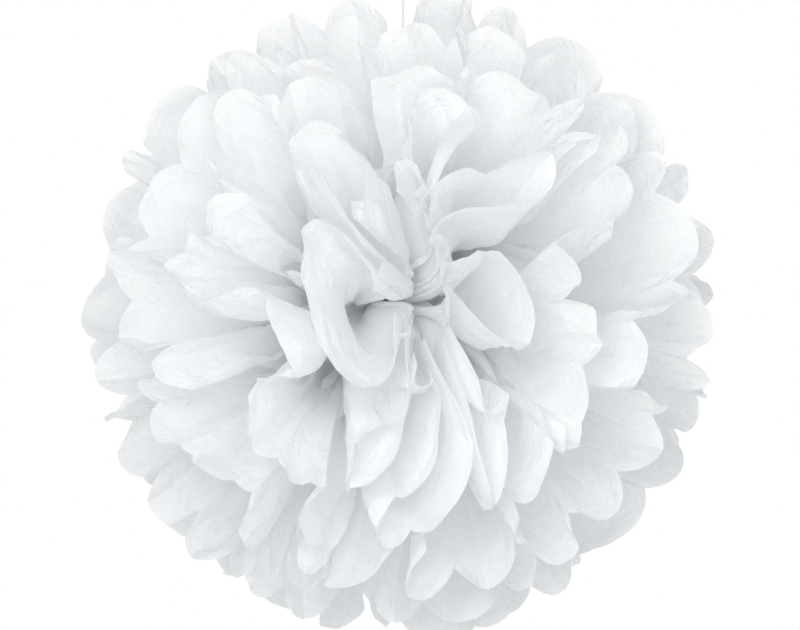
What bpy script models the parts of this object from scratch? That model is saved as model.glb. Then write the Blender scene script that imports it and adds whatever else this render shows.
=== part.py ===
"""Tissue paper pom pom, modelled the way the real one is made, in metres with +Z up.

Eight sheets of tissue are stacked, pleated like a fan, trimmed round at both ends and tied round the middle.
Each sheet then opens into a left and a right fan. Four sheets are pulled towards the front, which is -Y, and
four towards the back, so their fans close into a ball that hangs from a thread.

A sheet starts here as a flat grid, with one pair of pleats across each cell. The grid is refined towards the
round petals, and every point is then carried from its place on the flat paper to its place in the ball. The
origin is where a hook bears on the hanging loop.
"""

import bisect
import math
import random

import bmesh
import bpy
from mathutils import Quaternion, Vector

# Driving sizes
BALL_RADIUS = 0.125  # from the tie to the petal tips
SHEET_WIDTH = 0.48  # flat paper, across the pleats
PLEATS = 16  # panels across one sheet, an even number
FRONT_SHEETS = 4
BACK_SHEETS = 4
SHEET_WALL = 0.0004  # stands in for tissue of about 0.03 mm
NOTCH_DEPTH = 0.0125  # how far the round trim cuts in at each fold
WAIST_WIDTH = 0.012  # the gathered paper in the tie, along Z
WAIST_LENGTH = 0.006  # along X, between the left and the right fans
WAIST_GAP = 0.0004  # between one gathered waist and the next
SEAT_GAP = 0.0003  # between pieces that touch
WIRE_DIAMETER = 0.0008
WIRE_TAIL = 0.011  # the twisted ends
THREAD_DIAMETER = 0.001
THREAD_ABOVE_BALL = 0.036  # from the petal tips to the loop's knot
KNOT_DIAMETER = 0.0032
LOOP_HEIGHT = 0.020  # inside the loop, from its knot to the hook
LOOP_WIDTH = 0.009

# How the sheets share the ball. Angles are in degrees and are measured at the tie: a polar angle from the
# flower's axis, which points forwards along -Y, and an azimuth round that axis.
SEAM_MARGIN = 1.8  # azimuth left free on each side of a seam
SEAM_WANDER = 7.0  # how far a seam strays between one sheet and the next
END_SHELL = 28.0  # polar angle that the first and the last sheet fill, and the others share the rest evenly
SHELL_MARGIN = 1.2  # polar angle left free on each side of a sheet
CENTRE_HOLLOW = 2.0  # polar angle that the first and last sheets keep from the axis
FOLD_JITTER = 0.06  # how far a fold strays, as a share of a panel's width
PETAL_BOW = 0.06  # how far a panel bows out of flat, as a share of its width
PETAL_REACH = 0.035  # how much longer or shorter a petal reaches than its fellows, as a share of the radius
TRIM_ROUNDNESS = 2.4  # power of the trimmed end's outline; 2 is a parabola
FOLD_SEED = 26

# How four panels lie along a ring with room to open and along one so short that they double back: the step
# along the ring in panel widths, then the level across the sheet's share of the ball.
PLEAT_GROUP = (
    (0.92, 0.95, -0.25, -0.82),
    (0.62, -0.62, 0.75, 0.18),
    (0.92, 0.84, 0.25, 0.88),
    (0.86, 0.30, -0.75, -0.82),
)
DOUBLING_START = 0.86  # share of its paper's width that a ring is long when its panels start to double back
DOUBLING_FULL = 0.26
RING_STEPS = 48

# Where the paper has been teased: an azimuth, a polar angle, how far it reaches and how far it turns
EDDIES = (
    (0.0, 0.0, 16.0, 40.0),
    (100.0, 24.0, 26.0, 40.0),
    (-75.0, 22.0, 25.0, 54.0),
    (175.0, 40.0, 22.0, 48.0),
    (15.0, 44.0, 24.0, -46.0),
    (55.0, 62.0, 20.0, 44.0),
    (125.0, 66.0, 20.0, -42.0),
    (-125.0, 58.0, 22.0, -48.0),
    (-42.0, 62.0, 22.0, 40.0),
    (-5.0, 84.0, 18.0, 42.0),
    (158.0, 84.0, 18.0, -38.0),
    (-90.0, 86.0, 20.0, 36.0),
    (60.0, 118.0, 22.0, -44.0),
    (135.0, 120.0, 22.0, 46.0),
    (-140.0, 116.0, 22.0, 40.0),
    (-30.0, 122.0, 24.0, -46.0),
    (0.0, 150.0, 24.0, 38.0),
    (180.0, 148.0, 24.0, -36.0),
)

# Turns and a sideways shift of the paper half way out, which close the middle to view: as above, and the shift
# is for the front of the ball and is mirrored at its back
INNER_TURNS = (
    (0.0, 0.0, 50.0, 36.0),
    (-90.0, 90.0, 45.0, 40.0),
    (0.0, 180.0, 50.0, -36.0),
)
INNER_SHIFT = Vector((-0.22, 0.0, 0.10))

# Slow waves that carry whole petals about: direction of travel, push, phase
WAVES = (
    (Vector((2.6, 1.1, 0.7)), Vector((0.0, 0.030, 0.045)), 0.4),
    (Vector((-0.9, 1.7, 3.1)), Vector((0.050, 0.025, 0.0)), 1.9),
    (Vector((1.3, -3.0, 2.2)), Vector((-0.025, 0.0, 0.035)), 3.3),
    (Vector((3.9, 2.1, -3.4)), Vector((0.015, 0.020, 0.018)), 5.0),
)
WAVE_ROLL = 4.0  # how far the waves roll on between the tie and the petals, in radians
FLOWER_SHIFT = Vector((0.080, 0.0, 0.045))  # the flower's middle lies right of and above the ball's
RING_TALL = 0.35  # each ring of petals is this much taller than round
RING_TALL_MIDDLE = 1.0  # and more so near the flower's middle
RING_NARROW_MIDDLE = 0.05  # where it is also narrower
RING_MIDDLE_REACH = 26.0
THREAD_LANE = (5.0, 24.0)  # nothing moves within the first angle of the thread, all of it past the second

# Shares of the radius between which the paper's form comes in, from the tie out
WAIST_SPAN = (0.0, 0.24)  # the fans leave the tie flat and bend to their share of the ball
LEVEL_SPAN = (0.03, 0.35)  # the pleats gain their depth
RING_SPAN = (0.15, 0.7)  # the folds move from even steps to their places on the ring
BOW_SPAN = (0.2, 0.9)
TURN_SPAN = (0.1, 0.9)
PUSH_SPAN = (0.1, 0.7)
INNER_RISE = (0.08, 0.3)
INNER_FALL = (0.35, 0.7)

# Shares of the radius at which the grid has its rows, from the tie out, and how often each row is halved
ROWS = (0.0, 0.05, 0.12, 0.3, 0.6, 0.88, 1.0)
ROW_HALVINGS = (0, 0, 1, 1, 1, 2, 3)

# Worked out from the sizes above
SHEETS = FRONT_SHEETS + BACK_SHEETS
WAIST_PITCH = SHEET_WALL + WAIST_GAP
STACK_HALF_THICKNESS = ((SHEETS - 1) * WAIST_PITCH + SHEET_WALL) / 2
WIRE_RADIUS = WIRE_DIAMETER / 2
THREAD_RADIUS = THREAD_DIAMETER / 2
KNOT_RADIUS = KNOT_DIAMETER / 2
TIE_TOP = WAIST_WIDTH / 2 + SEAT_GAP + WIRE_DIAMETER
LOWER_KNOT_Z = TIE_TOP + SEAT_GAP + KNOT_RADIUS
LOOP_KNOT_Z = BALL_RADIUS + THREAD_ABOVE_BALL
HOOK_Z = LOOP_KNOT_Z + KNOT_RADIUS + LOOP_HEIGHT
PLEAT_ANGLE = SHEET_WIDTH / PLEATS / BALL_RADIUS


def clear_scene():
    for item in list(bpy.data.objects):
        bpy.data.objects.remove(item, do_unlink=True)


def make_collection(name):
    collection = bpy.data.collections.new(name)
    bpy.context.scene.collection.children.link(collection)
    return collection


def make_material(name, colour, roughness, metallic=0.0):
    material = bpy.data.materials.new(name)
    material.use_nodes = True
    shader = material.node_tree.nodes["Principled BSDF"]
    shader.inputs["Base Color"].default_value = (*colour, 1.0)
    shader.inputs["Roughness"].default_value = roughness
    shader.inputs["Metallic"].default_value = metallic
    return material


def smoothstep(low, high, value):
    share = min(max((value - low) / (high - low), 0.0), 1.0)
    return share * share * (3.0 - 2.0 * share)


def direction_of(half, azimuth, polar):
    """Unit vector at an azimuth from the side, up positive, and a polar angle from the flower's axis."""
    across = math.sin(polar)
    return Vector((half * math.cos(azimuth) * across, -math.cos(polar), math.sin(azimuth) * across))


def ring_shape(polar):
    """Half width and half height of the ring of petals that a polar angle stands for."""
    from_axis = min(polar, math.pi - polar)
    near = math.exp(-((from_axis / math.radians(RING_MIDDLE_REACH)) ** 2))
    return 1.0 - RING_NARROW_MIDDLE * near, 1.0 + RING_TALL + RING_TALL_MIDDLE * near


def on_ring(azimuth, polar):
    """The polar angle at one azimuth of an oval ring of petals."""
    wide, tall = ring_shape(polar)
    stretch = 1.0 / math.hypot(math.cos(azimuth) / wide, math.sin(azimuth) / tall)
    return math.atan2(math.sin(polar) * stretch, math.cos(polar))


def shell_edge(number):
    """The polar angle between one sheet and the next."""
    if number in (0, SHEETS):
        return math.pi * number / SHEETS
    end = math.radians(END_SHELL)
    return end + (number - 1) * (math.pi - 2 * end) / (SHEETS - 2)


def eddy_axis(azimuth, polar):
    return direction_of(1, math.radians(azimuth), math.radians(polar))


def teased(direction, row_share):
    """Where a direction goes once the paper is teased. It is one smooth turn of the whole ball at each
    distance from the tie, so sheets that lay apart still lie apart."""
    moved = direction.copy()
    outer = smoothstep(*TURN_SPAN, row_share)
    inner = smoothstep(*INNER_RISE, row_share) * (1.0 - smoothstep(*INNER_FALL, row_share))
    for turning, turns in ((inner, INNER_TURNS), (outer, EDDIES)):
        for azimuth, polar, reach, turn in turns:
            axis = eddy_axis(azimuth, polar)
            fade = math.exp(-((moved.angle(axis, 0.0) / math.radians(reach)) ** 2))
            moved = Quaternion(axis, math.radians(turn) * fade * turning) @ moved
    push = Vector((0.0, 0.0, 0.0))
    for travel, amount, phase in WAVES:
        push += amount * math.sin(travel.dot(moved) * 2.0 + phase + WAVE_ROLL * row_share)
    forward = max(-moved.y, 0.0) ** 2
    push += FLOWER_SHIFT * forward
    aside = INNER_SHIFT * inner * math.copysign(moved.y**2, -moved.y)
    moved = (moved + push * smoothstep(*PUSH_SPAN, row_share) + aside).normalized()
    start, end = (math.radians(value) for value in THREAD_LANE)
    free = smoothstep(start, end, direction.angle(Vector((0.0, 0.0, 1.0)), 0.0))
    return direction.lerp(moved, free).normalized()


class Fan:
    """One half of one sheet: where its fold lines and its petals lie."""

    def __init__(self, sheet, half):
        self.sheet = sheet
        self.half = half
        margin = math.radians(SHELL_MARGIN)
        hollow = math.radians(CENTRE_HOLLOW)
        self.low = max(shell_edge(sheet) + margin, hollow)
        self.high = min(shell_edge(sheet + 1) - margin, math.pi - hollow)
        self.middle = (self.low + self.high) / 2
        self.ring = self.walk_ring()
        draw = random.Random(FOLD_SEED + 2 * sheet + (half > 0))
        self.folds = self.place_folds(draw)
        self.bows = [draw.uniform(0.5, 1.0) * PETAL_BOW for _ in range(PLEATS)]
        self.reaches = [1.0 - draw.uniform(0.0, 1.0) * PETAL_REACH for _ in range(PLEATS)]

    def seam(self, is_top):
        """How far this sheet's seam strays. The sheets beside the thread keep it straight."""
        if self.sheet in (FRONT_SHEETS - 1, FRONT_SHEETS):
            return 0.0
        draw = random.Random(FOLD_SEED * 100 + 2 * self.sheet + is_top)
        return self.half * math.radians(draw.uniform(-SEAM_WANDER, SEAM_WANDER))

    def walk_ring(self):
        """Azimuths along this sheet's ring from the top seam down, each with its distance from the seam."""
        top = math.pi / 2 - math.radians(SEAM_MARGIN) + self.seam(True)
        bottom = -math.pi / 2 + math.radians(SEAM_MARGIN) + self.seam(False)
        walk = [(0.0, top)]
        before = direction_of(1, top, on_ring(top, self.middle))
        for step in range(1, RING_STEPS + 1):
            azimuth = top + (bottom - top) * step / RING_STEPS
            here = direction_of(1, azimuth, on_ring(azimuth, self.middle))
            walk.append((walk[-1][0] + here.angle(before), azimuth))
            before = here
        return walk

    def azimuth_at(self, share):
        """The azimuth a share of the way along the ring, which may lie a little past either seam."""
        aim = share * self.ring[-1][0]
        step = min(max(bisect.bisect([length for length, _ in self.ring], aim), 1), RING_STEPS)
        (near, start), (far, end) = self.ring[step - 1 : step + 1]
        return start + (end - start) * (aim - near) / (far - near)

    def place_folds(self, draw):
        """Fold points as a share of the way along the ring and a level from -1, nearest the flower's axis,
        to 1. The more paper there is for the ring, the more of it doubles back on itself."""
        wanted = self.ring[-1][0] / PLEAT_ANGLE / PLEATS
        doubled = min(max((DOUBLING_START - wanted) / (DOUBLING_START - DOUBLING_FULL), 0.0), 1.0)
        along = 0.0
        folds = [(along, PLEAT_GROUP[-1][2])]
        for panel in range(PLEATS):
            open_step, closed_step, open_level, closed_level = PLEAT_GROUP[panel % len(PLEAT_GROUP)]
            along += open_step + (closed_step - open_step) * doubled + draw.uniform(-1, 1) * FOLD_JITTER
            level = open_level + (closed_level - open_level) * doubled + draw.uniform(-1, 1) * FOLD_JITTER
            folds.append((along, level))
        return [(place / along, level) for place, level in folds]

    def point(self, across, row_share):
        """Where a point of the flat paper goes. across runs from 0 at the top to 1 at the bottom."""
        panel = min(int(across * PLEATS), PLEATS - 1)
        share = across * PLEATS - panel
        (start, start_level), (end, end_level) = self.folds[panel : panel + 2]
        half_thickness = (self.high - self.low) / 2
        run = (end - start) * self.ring[-1][0]
        rise = (end_level - start_level) * half_thickness
        chord = math.hypot(run, rise)
        bow = self.bows[panel] * PLEAT_ANGLE * math.sin(math.pi * share) * smoothstep(*BOW_SPAN, row_share)
        facing = math.copysign(1.0, run)
        along = start + (end - start) * share - facing * bow * rise / chord / self.ring[-1][0]
        level = start_level + (end_level - start_level) * share + facing * bow * run / chord / half_thickness
        level = min(max(level, -1.0), 1.0) * smoothstep(*LEVEL_SPAN, row_share)
        fanned = (0.5 - across) * (math.pi - 2 * math.radians(SEAM_MARGIN))
        azimuth = fanned + (self.azimuth_at(along) - fanned) * smoothstep(*RING_SPAN, row_share)
        polar = on_ring(azimuth, self.middle + level * half_thickness)
        polar = math.pi / 2 + (polar - math.pi / 2) * smoothstep(*WAIST_SPAN, row_share)
        towards = teased(direction_of(self.half, azimuth, polar), row_share)
        arch = 1.0 - abs(2.0 * share - 1.0) ** TRIM_ROUNDNESS
        reach = BALL_RADIUS * (1.0 - (1.0 - self.reaches[panel]) * arch) - NOTCH_DEPTH * (1.0 - arch)
        waist_y = (self.sheet - (SHEETS - 1) / 2) * WAIST_PITCH
        waist_z = WAIST_WIDTH / 2 * azimuth / (math.pi / 2)
        return Vector((self.half * WAIST_LENGTH / 2, waist_y, waist_z)) + towards * (row_share * reach)


def flat_grid():
    """The flat paper: columns of points along X from one trimmed end to the other, pleats across along Y.
    X counts the columns and Y runs from 0 to 1. Rows near the petals are halved more often."""
    columns = 2 * len(ROWS)
    grid = bmesh.new()
    bmesh.ops.create_grid(grid, x_segments=columns - 1, y_segments=PLEATS // 2, size=0.5)
    for vert in grid.verts:
        vert.co = Vector(((vert.co.x + 0.5) * (columns - 1), vert.co.y + 0.5, 0.0))
    for halving in range(max(ROW_HALVINGS)):
        across = [
            edge
            for edge in grid.edges
            if abs(edge.verts[0].co.x - edge.verts[1].co.x) < 0.5
            and ROW_HALVINGS[row_of(edge.verts[0].co.x)[1]] > halving
        ]
        bmesh.ops.subdivide_edges(grid, edges=across, cuts=1, use_grid_fill=True, use_single_edge=True)
    bmesh.ops.triangulate(grid, faces=grid.faces, quad_method="FIXED")
    return grid


def row_of(column):
    """Which half a column of the flat grid belongs to, and its row counted from the tie."""
    index = round(column)
    if index < len(ROWS):
        return -1, len(ROWS) - 1 - index
    return 1, index - len(ROWS)


def make_sheet(number, material, collection):
    name = f"tissue_sheet_{number + 1:02d}"
    fans = {-1: Fan(number, -1), 1: Fan(number, 1)}
    grid = flat_grid()
    for vert in grid.verts:
        half, row = row_of(vert.co.x)
        vert.co = fans[half].point(vert.co.y, ROWS[row])
    mesh = bpy.data.meshes.new(name)
    grid.to_mesh(mesh)
    grid.free()
    sheet = bpy.data.objects.new(name, mesh)
    sheet.location = (0.0, 0.0, -HOOK_Z)
    mesh.materials.append(material)
    collection.objects.link(sheet)
    wall = sheet.modifiers.new("tissue", "SOLIDIFY")
    wall.thickness = SHEET_WALL
    wall.offset = 0.0
    wall.use_even_offset = False
    wall.use_quality_normals = True
    return sheet


def make_tube(name, points, diameter, sides_level, material, collection):
    curve = bpy.data.curves.new(name, "CURVE")
    curve.dimensions = "3D"
    curve.bevel_depth = diameter / 2
    curve.bevel_resolution = sides_level
    curve.use_fill_caps = True
    spline = curve.splines.new("POLY")
    spline.points.add(len(points) - 1)
    for place, point in zip(spline.points, points):
        place.co = (*point, 1.0)
    curve.materials.append(material)
    tube = bpy.data.objects.new(name, curve)
    tube.location = (0.0, 0.0, -HOOK_Z)
    collection.objects.link(tube)
    return tube


def wire_route():
    """One wire: up from a twisted tail, once round the stacked waists, and back down the tail."""
    half_y = STACK_HALF_THICKNESS + SEAT_GAP + WIRE_RADIUS
    half_z = WAIST_WIDTH / 2 + SEAT_GAP + WIRE_RADIUS
    apart = WIRE_RADIUS + SEAT_GAP / 2
    tail_steps = 9
    turn = math.radians(70.0)
    first = []
    second = []
    for step in range(tail_steps + 1):
        share = step / tail_steps
        angle = turn * (tail_steps - step)
        side = Vector((math.sin(angle) * apart, -math.cos(angle) * apart, 0.0))
        down = Vector((0.0, 0.0, -half_z - WIRE_TAIL * (1.0 - share)))
        first.append(down + side)
        second.append(down - side)
    corner = WIRE_DIAMETER
    round_stack = []
    for corner_y, corner_z, start in ((-1, -1, 180.0), (-1, 1, 90.0), (1, 1, 0.0), (1, -1, -90.0)):
        centre = Vector((0.0, corner_y * (half_y - corner), corner_z * (half_z - corner)))
        for step in range(3):
            angle = math.radians(start + 90.0 - 45.0 * step)
            round_stack.append(centre + Vector((0.0, math.cos(angle), math.sin(angle))) * corner)
    return first + round_stack + second[::-1]


def make_knot(name, height, material, collection):
    ball = bmesh.new()
    bmesh.ops.create_uvsphere(ball, u_segments=10, v_segments=6, radius=KNOT_RADIUS)
    mesh = bpy.data.meshes.new(name)
    ball.to_mesh(mesh)
    ball.free()
    for face in mesh.polygons:
        face.use_smooth = True
    mesh.materials.append(material)
    knot = bpy.data.objects.new(name, mesh)
    knot.location = (0.0, 0.0, height - HOOK_Z)
    collection.objects.link(knot)
    return knot


def loop_route():
    """A drop-shaped loop, from the knot up one side, over the hook and down the other side."""
    foot_x = THREAD_RADIUS + SEAT_GAP / 2
    foot_z = LOOP_KNOT_Z + math.sqrt((KNOT_RADIUS + SEAT_GAP) ** 2 - foot_x**2)
    bend = LOOP_WIDTH / 2 + THREAD_RADIUS
    top_centre = HOOK_Z - LOOP_WIDTH / 2
    right = [Vector((foot_x, 0.0, foot_z))]
    leg_steps = 4
    for step in range(1, leg_steps):
        share = step / leg_steps
        across = foot_x + (bend - foot_x) * smoothstep(0.0, 1.0, share)
        right.append(Vector((across, 0.0, foot_z + (top_centre - foot_z) * share)))
    for step in range(4):
        angle = math.radians(90.0 * step / 4)
        right.append(Vector((bend * math.cos(angle), 0.0, top_centre + bend * math.sin(angle))))
    left = [Vector((-point.x, point.y, point.z)) for point in reversed(right)]
    return right + [Vector((0.0, 0.0, top_centre + bend))] + left


def build():
    clear_scene()
    pom_pom = make_collection("tissue_pom_pom")
    tissue = make_material("white_tissue", (0.90, 0.92, 0.94), 0.75)
    wire = make_material("tie_wire", (0.62, 0.63, 0.65), 0.35, metallic=1.0)
    thread = make_material("white_thread", (0.93, 0.93, 0.92), 0.6)
    for number in range(SHEETS):
        make_sheet(number, tissue, pom_pom)
    make_tube("wire_tie", wire_route(), WIRE_DIAMETER, 1, wire, pom_pom)
    make_knot("thread_lower_knot", LOWER_KNOT_Z, thread, pom_pom)
    bottom = Vector((0.0, 0.0, LOWER_KNOT_Z + KNOT_RADIUS + SEAT_GAP))
    top = Vector((0.0, 0.0, LOOP_KNOT_Z - KNOT_RADIUS - SEAT_GAP))
    make_tube("hanging_thread", [bottom, top], THREAD_DIAMETER, 2, thread, pom_pom)
    make_knot("loop_knot", LOOP_KNOT_Z, thread, pom_pom)
    make_tube("hanging_loop", loop_route(), THREAD_DIAMETER, 1, thread, pom_pom)


build()
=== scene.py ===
"""The tissue paper pom pom's looks: crinkled, translucent tissue sheets, a wire tie, and a twisted thread
with its knots and its loop.

Each sheet is folded, opened and teased by the same formulas as its solid. The tie's ripples, the closed middle
and the paper's creases, crumpled facets and curled rims are then pressed into it.
"""

import math
import random

import bpy
import numpy as np
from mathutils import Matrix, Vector


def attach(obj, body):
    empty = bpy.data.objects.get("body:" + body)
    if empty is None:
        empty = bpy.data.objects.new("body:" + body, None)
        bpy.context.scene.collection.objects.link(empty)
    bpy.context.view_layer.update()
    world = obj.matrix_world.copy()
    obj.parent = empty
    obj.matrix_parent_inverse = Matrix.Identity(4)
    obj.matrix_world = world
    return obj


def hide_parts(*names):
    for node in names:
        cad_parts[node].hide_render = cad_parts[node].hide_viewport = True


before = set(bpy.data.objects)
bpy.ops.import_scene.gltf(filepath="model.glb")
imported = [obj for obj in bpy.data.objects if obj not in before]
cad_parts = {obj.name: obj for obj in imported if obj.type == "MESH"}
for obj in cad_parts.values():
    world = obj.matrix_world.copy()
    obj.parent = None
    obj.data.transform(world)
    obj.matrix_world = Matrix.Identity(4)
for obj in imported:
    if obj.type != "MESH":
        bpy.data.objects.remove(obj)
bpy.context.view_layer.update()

# Sizes and places of the solids that these pieces stand for, in metres
BALL_RADIUS = 0.125  # from the tie to the petal tips
SHEET_WIDTH = 0.48
PLEATS = 16  # panels across one sheet
FRONT_SHEETS = 4
SHEETS = 8
SHEET_WALL = 0.0004
NOTCH_DEPTH = 0.0125  # how far the round trim cuts in at each fold
WAIST_WIDTH = 0.012  # the gathered paper in the tie, along Z
WAIST_LENGTH = 0.006  # along X, between the left and the right fans
WAIST_GAP = 0.0004  # between one gathered waist and the next
SEAT_GAP = 0.0003  # between pieces that touch
WIRE_DIAMETER = 0.0008
WIRE_TAIL = 0.011
THREAD_DIAMETER = 0.001
THREAD_ABOVE_BALL = 0.036
KNOT_DIAMETER = 0.0032
LOOP_HEIGHT = 0.020
LOOP_WIDTH = 0.009

# How the sheets share the ball: polar angles are from the flower's axis, azimuths go round it
SEAM_MARGIN = math.radians(1.8)
SEAM_WANDER = 7.0
END_SHELL = math.radians(28.0)
SHELL_MARGIN = math.radians(1.2)
CENTRE_HOLLOW = math.radians(2.0)
FOLD_JITTER = 0.06
PETAL_BOW = 0.06
PETAL_REACH = 0.035
TRIM_ROUNDNESS = 2.4
FOLD_SEED = 26
# How four panels lie, on a ring with room to open and on a short one: steps along the ring, then levels
PLEAT_GROUP = (
    (0.92, 0.95, -0.25, -0.82),
    (0.62, -0.62, 0.75, 0.18),
    (0.92, 0.84, 0.25, 0.88),
    (0.86, 0.30, -0.75, -0.82),
)
DOUBLING_START = 0.86
DOUBLING_FULL = 0.26
RING_STEPS = 48
# Where the paper is teased: azimuth, polar angle, reach and turn, in degrees
EDDIES = (
    (0.0, 0.0, 16.0, 40.0),
    (100.0, 24.0, 26.0, 40.0),
    (-75.0, 22.0, 25.0, 54.0),
    (175.0, 40.0, 22.0, 48.0),
    (15.0, 44.0, 24.0, -46.0),
    (55.0, 62.0, 20.0, 44.0),
    (125.0, 66.0, 20.0, -42.0),
    (-125.0, 58.0, 22.0, -48.0),
    (-42.0, 62.0, 22.0, 40.0),
    (-5.0, 84.0, 18.0, 42.0),
    (158.0, 84.0, 18.0, -38.0),
    (-90.0, 86.0, 20.0, 36.0),
    (60.0, 118.0, 22.0, -44.0),
    (135.0, 120.0, 22.0, 46.0),
    (-140.0, 116.0, 22.0, 40.0),
    (-30.0, 122.0, 24.0, -46.0),
    (0.0, 150.0, 24.0, 38.0),
    (180.0, 148.0, 24.0, -36.0),
)
INNER_TURNS = (
    (0.0, 0.0, 50.0, 36.0),
    (-90.0, 90.0, 45.0, 40.0),
    (0.0, 180.0, 50.0, -36.0),
)
INNER_SHIFT = np.array((-0.22, 0.0, 0.10))
# Slow waves that carry whole petals about: direction of travel, push, phase
WAVES = (
    ((2.6, 1.1, 0.7), (0.0, 0.030, 0.045), 0.4),
    ((-0.9, 1.7, 3.1), (0.050, 0.025, 0.0), 1.9),
    ((1.3, -3.0, 2.2), (-0.025, 0.0, 0.035), 3.3),
    ((3.9, 2.1, -3.4), (0.015, 0.020, 0.018), 5.0),
)
WAVE_RATE = 2.0
WAVE_ROLL = 4.0
FLOWER_SHIFT = np.array((0.080, 0.0, 0.045))
RING_TALL = 0.35
RING_TALL_MIDDLE = 1.0
RING_NARROW_MIDDLE = 0.05
RING_MIDDLE_REACH = math.radians(26.0)
THREAD_LANE = (math.radians(5.0), math.radians(24.0))

# Shares of the radius between which each part of the paper's form comes in, from the tie out
WAIST_SPAN = (0.0, 0.24)
LEVEL_SPAN = (0.03, 0.35)
RING_SPAN = (0.15, 0.7)
BOW_SPAN = (0.2, 0.9)
TURN_SPAN = (0.1, 0.9)
PUSH_SPAN = (0.1, 0.7)
INNER_RISE = (0.08, 0.3)
INNER_FALL = (0.35, 0.7)

# How the inmost paper closes the hollow in the middle of each flower
CLOSE_REACH = math.radians(22.0)
CLOSE_POWER = 2.5
CLOSE_RISE = (0.06, 0.16)
CLOSE_FALL = (0.55, 0.85)

# The ripples that the tie gathers the paper into: how far each swings and how many there are in a radian
GATHER_RISE = (0.05, 0.14)
GATHER_FALL = (0.40, 0.66)
GATHER_POLAR = (0.165, 32.0)
GATHER_AZIMUTH = (0.165, 30.0)
RIPPLE_CORNER = 0.995  # under 1 the ripples' corners are a little round

WAIST_PITCH = SHEET_WALL + WAIST_GAP
STACK_HALF_THICKNESS = ((SHEETS - 1) * WAIST_PITCH + SHEET_WALL) / 2
WIRE_RADIUS = WIRE_DIAMETER / 2
THREAD_RADIUS = THREAD_DIAMETER / 2
KNOT_RADIUS = KNOT_DIAMETER / 2
TIE_TOP = WAIST_WIDTH / 2 + SEAT_GAP + WIRE_DIAMETER
LOWER_KNOT_Z = TIE_TOP + SEAT_GAP + KNOT_RADIUS
LOOP_KNOT_Z = BALL_RADIUS + THREAD_ABOVE_BALL
HOOK_Z = LOOP_KNOT_Z + KNOT_RADIUS + LOOP_HEIGHT
PLEAT_ANGLE = SHEET_WIDTH / PLEATS / BALL_RADIUS
BALL_CENTRE = np.array((0.0, 0.0, -HOOK_Z))

# The fineness of the visible paper
PANEL_COLUMNS = 20
PAPER_ROWS = 76
ROW_CROWDING = 0.85  # under 1 the rows stand closer together towards the rim
CREASE_CROWDING = 0.10  # how much closer the columns stand at the folds

# The paper's own creases, facets and rims: sizes and depths in metres, spans in shares of the radius
PAPER_SEED = 1000
NOISE_CELLS = 64
FOLD_STRIP = 0.20  # share of a panel at each fold that stays smooth
CREASE_DEPTH = 0.0068
CREASE_RANGE = (0.4, 1.0)  # the shallowest and the deepest crease, as shares of that depth
CREASE_SHARES = (1.0, 0.6)  # a panel has two creases, one less deep
CREASE_MARGIN = 4  # columns between a fold and the nearest crease
CREASE_SPAN = (0.25, 0.8)
CREASE_ANGLE = math.radians(16.0)  # sharper bends than this are drawn as crisp lines
FACETS = ((0.017, 0.0022), (0.0095, 0.0011), (0.0055, 0.0007))  # widths and depths
FACET_SEEDS = (100, 50)  # the first, and the step to the next
FACET_SLANT = (0.6, -0.9)  # of the first, and the step to the next
FACET_LEVEL = 0.4  # brings the facets' mean near the folded shape
FACET_SPAN = (0.35, 0.85)
RIM_CURL = 0.0035
CURL_SPAN = (0.84, 1.0)
RIM_WAVE = (0.010, 0.0028)  # width and depth
RIM_WAVE_SEED = 400
RIM_WAVE_STRETCH = 0.3
RIM_WAVE_SPAN = (0.88, 1.0)
POLE_CALM = 0.3  # share of all this that is left in the middle of the flower
POLE_SPAN = (math.radians(4.0), math.radians(20.0))
ON_LINE = 1e-9
TINY = 1e-12

# The crinkles in the paper's look: how they are stretched over the flat paper, how wide and how high they are
STREAKS = ((1.0, 0.07, 0.0), 0.0075, 0.0005)
NARROW_STREAKS = ((1.0, 0.10, 0.0), 0.0032, 0.0002)
WIDE_CRINKLES = ((1.0, 0.8, 0.0), 0.0085, 0.0013)
FINE_CRINKLES = ((0.9, 1.0, 0.0), 0.0027, 0.0010)
FIBRES = (0.0009, 0.00012)  # width and height
CLOUDS = 0.02
DETAIL = 3.0
CLOUD_RANGE = (0.3, 0.7)
CALM_INSIDE = (0.0, 0.06, 1.0, 0.3)  # from the rim in, the crinkles are calmer
# painted highlights: where the paler lines along the streaks, the crinkles, the creases and the cut rim come
# in
PAINTED_STREAK_HIGHLIGHT = (0.0, 0.012, 0.35, 0.0)
PAINTED_CRINKLE_HIGHLIGHT = (0.0, 0.010, 0.3, 0.0)
PAINTED_CREASE_HIGHLIGHT = (0.35, 0.8, 0.0, 1.0)
PAINTED_RIM_HIGHLIGHT = (0.0, 0.0010, 1.0, 0.0)
# how much the random mottling and the painted highlight lines each add to the paper's pale tone
CLOUD_SHARE = 0.5
PAINTED_HIGHLIGHT_SHARE = 0.5
# the paper's colour from dark to pale; the pale end comes both from random mottling and from the painted
# highlights
PAPER_DARK = (0.955, 0.960, 0.967, 1.0)
PAPER_PALE = (0.987, 0.988, 0.991, 1.0)
PAPER_THROUGH = 0.48  # share of the light that goes through
PAPER_SPECULAR = 0.2
PAPER_ROUGHNESS = (0.56, 0.68)
MIX_FACTOR, MIX_FIRST, MIX_SECOND, MIX_RESULT = 0, 6, 7, 2  # a colour mix's sockets

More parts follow.
